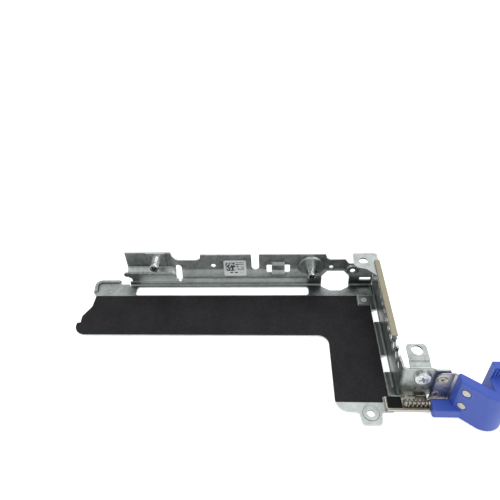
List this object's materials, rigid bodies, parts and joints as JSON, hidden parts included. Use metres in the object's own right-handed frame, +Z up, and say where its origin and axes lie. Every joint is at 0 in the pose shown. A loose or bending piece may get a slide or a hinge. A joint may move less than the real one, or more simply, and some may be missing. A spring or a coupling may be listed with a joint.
{
  "type": "server riser",
  "caption": "Low-profile server riser cage: folded steel tray with insulated floor, vented end wall, foam gasket, standoffs and a sprung blue card latch.",
  "frame": {"origin": "centre of the near fixing hole, on the underside of the tray's sheet", "axes": "+X towards the vented end wall, +Y towards the back wall, +Z up from the floor"},
  "size_m": [0.2417, 0.1083, 0.0365],
  "materials": {
    "galvanised_sheet": "satin, fine zinc spangle",
    "film": "matt film",
    "foam_gasket": "woven conductive cloth over foam",
    "label_paper": "matt",
    "zinc_hardware": "bright zinc",
    "stainless": "bright rolled",
    "spring_steel": "bright drawn wire",
    "blue_plastic": "satin moulded",
    "black_pad": "matt foam",
    "rivet_metal": "matt"
  },
  "bodies": {
    "cage": {"tray": "galvanised_sheet", "end_wall": "galvanised_sheet", "insulator_film": "film", "emi_gasket": "foam_gasket", "label": "label_paper", "standoff_left": "zinc_hardware", "standoff_right": "zinc_hardware", "ledge_screw": "zinc_hardware", "foot_rivet": "zinc_hardware", "base_rivet": "zinc_hardware", "latch_base": "stainless", "corner_pad": "black_pad", "hinge_pin": "spring_steel", "torsion_spring": "spring_steel"},
    "latch": {"latch_leaf": "stainless", "leaf_rivet_upper": "rivet_metal", "leaf_rivet_lower": "rivet_metal", "latch_handle": "blue_plastic", "handle_rivet_upper": "rivet_metal", "handle_rivet_lower": "rivet_metal"}
  },
  "joints": [
    {"name": "latch_hinge", "type": "hinge", "parent": "cage", "child": "latch", "pos_m": [0.035, 0.0044, 0.0042], "axis": [1, 0, 0], "range_deg": [0, 70], "stiffness_Nm_per_rad": 0.01, "springref_deg": -17.19}
  ]
}
